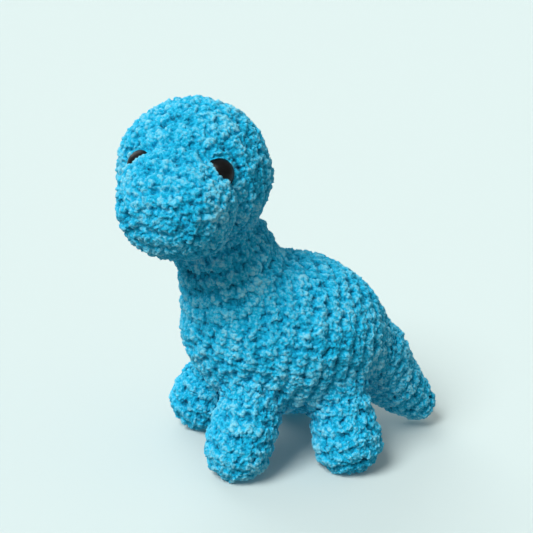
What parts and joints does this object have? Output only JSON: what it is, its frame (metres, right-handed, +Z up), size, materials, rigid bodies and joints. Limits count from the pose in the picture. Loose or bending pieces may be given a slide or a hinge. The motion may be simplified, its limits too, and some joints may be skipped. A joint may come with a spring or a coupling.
{
  "type": "stuffed dinosaur",
  "caption": "Long-necked stuffed dinosaur crocheted in thick chenille yarn, with a turned head, broad muzzle, domed safety eyes, four stubby legs and a cone tail, sewn at flexing seams.",
  "frame": {"origin": "middle of the bounding box, on the surface the soles stand on", "axes": "+Z up, body faces -Y, the toy's own left is +X; the head is turned 58 degrees to the toy's left"},
  "size_m": [0.1092, 0.1953, 0.1903],
  "materials": {
    "blue_chenille": "fluffy crocheted chenille, deep soft pile",
    "sewing_yarn": "one or two strands of the same chenille, whip stitched",
    "white_stuffing": "polyester fibre wadding",
    "black_eye": "moulded, glossy, lightly scuffed",
    "eye_washer": "moulded, translucent white"
  },
  "bodies": {
    "body": {"body_cover": "blue_chenille", "body_filling": "white_stuffing", "neck_filling": "white_stuffing"},
    "head_seam": {"head_seam_yarn": "sewing_yarn"},
    "head": {"head_cover": "blue_chenille", "head_filling": "white_stuffing", "left_eye": "black_eye", "right_eye": "black_eye", "left_eye_washer": "eye_washer", "right_eye_washer": "eye_washer"},
    "tail_seam": {"tail_seam_yarn": "sewing_yarn"},
    "tail": {"tail_cover": "blue_chenille", "tail_filling": "white_stuffing"},
    "front_left_leg": {"front_left_leg_cover": "blue_chenille", "front_left_leg_filling": "white_stuffing", "front_left_leg_seam_yarn": "sewing_yarn"},
    "front_right_leg": {"front_right_leg_cover": "blue_chenille", "front_right_leg_filling": "white_stuffing", "front_right_leg_seam_yarn": "sewing_yarn"},
    "rear_left_leg": {"rear_left_leg_cover": "blue_chenille", "rear_left_leg_filling": "white_stuffing", "rear_left_leg_seam_yarn": "sewing_yarn"},
    "rear_right_leg": {"rear_right_leg_cover": "blue_chenille", "rear_right_leg_filling": "white_stuffing", "rear_right_leg_seam_yarn": "sewing_yarn"}
  },
  "joints": [
    {"name": "head_turn", "type": "hinge", "parent": "body", "child": "head_seam", "pos_m": [0, -0.0535, 0.1532], "axis": [0, -0.3922, 0.9199], "range_deg": [-20, 20], "stiffness_Nm_per_rad": 0.25},
    {"name": "head_nod", "type": "hinge", "parent": "head_seam", "child": "head", "pos_m": [0, -0.0535, 0.1532], "axis": [0.5299, 0.848, 0], "range_deg": [-12, 5], "stiffness_Nm_per_rad": 0.35},
    {"name": "tail_wag", "type": "hinge", "parent": "body", "child": "tail_seam", "pos_m": [0, 0.0495, 0.0475], "axis": [0, 0, 1], "range_deg": [-15, 15], "stiffness_Nm_per_rad": 0.12},
    {"name": "tail_lift", "type": "hinge", "parent": "tail_seam", "child": "tail", "pos_m": [0, 0.0495, 0.0475], "axis": [1, 0, 0], "range_deg": [-3, 15], "stiffness_Nm_per_rad": 0.2},
    {"name": "front_left_leg_swing", "type": "hinge", "parent": "body", "child": "front_left_leg", "pos_m": [0.0218, -0.0215, 0.048], "axis": [1, 0, 0], "range_deg": [-15, 15], "stiffness_Nm_per_rad": 0.5},
    {"name": "front_right_leg_swing", "type": "hinge", "parent": "body", "child": "front_right_leg", "pos_m": [-0.0218, -0.0215, 0.048], "axis": [1, 0, 0], "range_deg": [-15, 15], "stiffness_Nm_per_rad": 0.5},
    {"name": "rear_left_leg_swing", "type": "hinge", "parent": "body", "child": "rear_left_leg", "pos_m": [0.025, 0.019, 0.048], "axis": [1, 0, 0], "range_deg": [-15, 15], "stiffness_Nm_per_rad": 0.5},
    {"name": "rear_right_leg_swing", "type": "hinge", "parent": "body", "child": "rear_right_leg", "pos_m": [-0.025, 0.019, 0.048], "axis": [1, 0, 0], "range_deg": [-15, 15], "stiffness_Nm_per_rad": 0.5}
  ]
}
